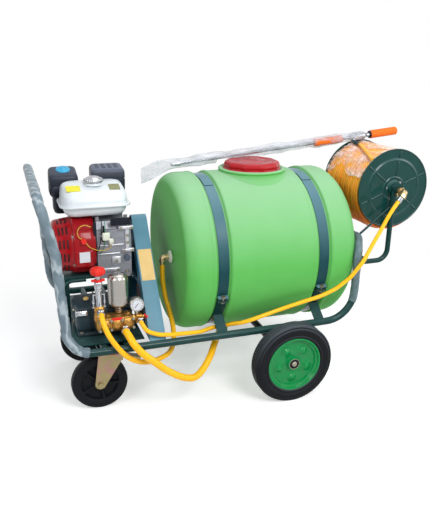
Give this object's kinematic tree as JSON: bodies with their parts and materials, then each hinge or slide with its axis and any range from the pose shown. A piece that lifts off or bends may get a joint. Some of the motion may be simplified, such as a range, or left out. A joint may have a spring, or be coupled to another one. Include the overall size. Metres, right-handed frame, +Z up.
{
  "type": "wheeled orchard sprayer",
  "caption": "Wheeled orchard sprayer: a tube frame carries a petrol engine, a belt-driven plunger pump, a strapped round tank, a hose reel and a spray lance, on wheels and casters.",
  "frame": {"origin": "on the ground, below the middle of the cart's length and width", "axes": "+X along the cart from the push handle and engine towards the hose reel, +Y across it away from the pump and gauge side, +Z up"},
  "size_m": [1.5398, 0.737, 0.9216],
  "materials": {
    "frame_enamel": "gloss enamel",
    "grey_film": "wrapped film",
    "black_paint": "satin",
    "tyre": "matt",
    "rim_green": "gloss",
    "zinc_steel": "yellow zinc",
    "tank_plastic": "rotomoulded",
    "red_plastic": "moulded",
    "strap_steel": "gloss",
    "brass": "cast and turned",
    "cast_aluminium": "as cast",
    "red_paint": "gloss",
    "black_plastic": "moulded",
    "white_plastic": "moulded",
    "chrome": "polished",
    "cast_iron": "painted",
    "belt_rubber": "matt",
    "guard_paint": "gloss",
    "stainless": "polished",
    "hose_rubber": "smooth",
    "orange_grip": "soft"
  },
  "bodies": {
    "cart": {"chassis_frame": "frame_enamel", "push_handle": "frame_enamel", "handle_wrap": "grey_film", "axle_beam": "black_paint", "caster_beam": "black_paint", "spray_tank": "tank_plastic", "engine_end_strap": "strap_steel", "reel_end_strap": "strap_steel", "engine_end_saddle": "frame_enamel", "reel_end_saddle": "frame_enamel", "tank_elbow": "brass", "engine_deck": "frame_enamel", "pump_shelf": "frame_enamel", "engine_block": "cast_aluminium", "cylinder_head": "cast_aluminium", "recoil_cover": "red_paint", "recoil_grip": "black_plastic", "fuel_tank": "white_plastic", "air_cleaner": "black_plastic", "muffler": "black_paint", "drive_belt": "belt_rubber", "belt_guard": "guard_paint", "pump_crankcase": "cast_iron", "pump_manifold": "brass", "air_chamber": "stainless", "pressure_regulator": "chrome", "outlet_cock": "brass", "pressure_gauge": "stainless", "reel_stand": "frame_enamel", "reel_swivel": "brass", "spray_lance": "chrome", "front_grip": "orange_grip", "lance_film": "grey_film", "suction_hose": "hose_rubber", "return_hose": "hose_rubber", "delivery_hose": "hose_rubber", "gun_hose": "hose_rubber"},
    "near_wheel": {"near_wheel_tyre": "tyre", "near_wheel_rim": "rim_green"},
    "far_wheel": {"far_wheel_tyre": "tyre", "far_wheel_rim": "rim_green"},
    "near_caster": {"near_caster_fork": "zinc_steel"},
    "far_caster": {"far_caster_fork": "zinc_steel"},
    "near_caster_roller": {"near_caster_wheel": "tyre"},
    "far_caster_roller": {"far_caster_wheel": "tyre"},
    "near_caster_pedal": {"near_caster_brake": "zinc_steel"},
    "far_caster_pedal": {"far_caster_brake": "zinc_steel"},
    "reel": {"hose_reel": "frame_enamel", "hose_winding": "hose_rubber"},
    "lid": {"tank_lid": "red_plastic"},
    "fuel_filler_cap": {"fuel_cap": "chrome"},
    "oil_filler_cap": {"oil_cap": "black_plastic"},
    "engine_drive": {"engine_pulley": "cast_iron"},
    "pump_drive": {"pump_pulley": "cast_iron"},
    "pressure_knob": {"regulator_knob": "red_plastic"},
    "relief_lever": {"regulator_lever": "red_plastic"},
    "delivery_tap": {"cock_lever": "red_plastic"},
    "ignition_switch": {"engine_switch": "red_plastic"},
    "throttle": {"throttle_lever": "black_paint"},
    "spray_twist_grip": {"rear_grip": "orange_grip"}
  },
  "joints": [
    {"name": "near_wheel_spin", "type": "hinge", "parent": "cart", "child": "near_wheel", "pos_m": [0.093, -0.3395, 0.151], "axis": [0, 1, 0], "continuous": true},
    {"name": "far_wheel_spin", "type": "hinge", "parent": "cart", "child": "far_wheel", "pos_m": [0.093, 0.3395, 0.151], "axis": [0, 1, 0], "continuous": true},
    {"name": "near_caster_swivel", "type": "hinge", "parent": "cart", "child": "near_caster", "pos_m": [-0.533, -0.181, 0.22], "axis": [0, 0, 1], "continuous": true},
    {"name": "near_caster_spin", "type": "hinge", "parent": "near_caster", "child": "near_caster_roller", "pos_m": [-0.583, -0.181, 0.0995], "axis": [0, 1, 0], "continuous": true},
    {"name": "near_caster_brake_press", "type": "hinge", "parent": "near_caster", "child": "near_caster_pedal", "pos_m": [-0.506, -0.181, 0.1917], "axis": [0, 1, 0], "range_deg": [0, 18]},
    {"name": "far_caster_swivel", "type": "hinge", "parent": "cart", "child": "far_caster", "pos_m": [-0.533, 0.181, 0.22], "axis": [0, 0, 1], "continuous": true},
    {"name": "far_caster_spin", "type": "hinge", "parent": "far_caster", "child": "far_caster_roller", "pos_m": [-0.583, 0.181, 0.0995], "axis": [0, 1, 0], "continuous": true},
    {"name": "far_caster_brake_press", "type": "hinge", "parent": "far_caster", "child": "far_caster_pedal", "pos_m": [-0.506, 0.181, 0.1917], "axis": [0, 1, 0], "range_deg": [0, 18]},
    {"name": "reel_spin", "type": "hinge", "parent": "cart", "child": "reel", "pos_m": [0.5933, 0, 0.7206], "axis": [0, 1, 0], "continuous": true},
    {"name": "lid_turn", "type": "hinge", "parent": "cart", "child": "lid", "pos_m": [0.0495, 0, 0.82], "axis": [0, 0, 1], "range_deg": [0, 270]},
    {"name": "fuel_cap_turn", "type": "hinge", "parent": "cart", "child": "fuel_filler_cap", "pos_m": [-0.546, 0, 0.79], "axis": [0, 0, 1], "range_deg": [0, 90]},
    {"name": "oil_cap_turn", "type": "hinge", "parent": "cart", "child": "oil_filler_cap", "pos_m": [-0.454, -0.1, 0.525], "axis": [0, -1, 0], "range_deg": [0, 270]},
    {"name": "pump_pulley_spin", "type": "hinge", "parent": "cart", "child": "pump_drive", "pos_m": [-0.39, -0.085, 0.345], "axis": [1, 0, 0], "continuous": true},
    {"name": "engine_pulley_spin", "type": "hinge", "parent": "cart", "child": "engine_drive", "pos_m": [-0.39, 0, 0.561], "axis": [1, 0, 0], "continuous": true},
    {"name": "pressure_knob_turn", "type": "hinge", "parent": "cart", "child": "pressure_knob", "pos_m": [-0.578, -0.228, 0.53], "axis": [0, 0, 1], "range_deg": [0, 360]},
    {"name": "relief_lever_turn", "type": "hinge", "parent": "cart", "child": "relief_lever", "pos_m": [-0.578, -0.228, 0.499], "axis": [0, 0, 1], "range_deg": [0, 90]},
    {"name": "delivery_tap_turn", "type": "hinge", "parent": "cart", "child": "delivery_tap", "pos_m": [-0.424, -0.23, 0.352], "axis": [1, 0, 0], "range_deg": [0, 90]},
    {"name": "ignition_switch_turn", "type": "hinge", "parent": "cart", "child": "ignition_switch", "pos_m": [-0.604, -0.112, 0.602], "axis": [0, -1, 0], "range_deg": [0, 60]},
    {"name": "throttle_swing", "type": "hinge", "parent": "cart", "child": "throttle", "pos_m": [-0.533, -0.096, 0.596], "axis": [0, 1, 0], "range_deg": [-25, 25]},
    {"name": "twist_grip_turn", "type": "hinge", "parent": "cart", "child": "spray_twist_grip", "pos_m": [0.693, 0.13298, 0.8993], "axis": [0.9923, 0.0923, 0.083], "range_deg": [0, 180]}
  ],
  "couplings": [
    {"joint": "engine_pulley_spin", "follows": "pump_pulley_spin", "ratio": 2.1335}
  ]
}
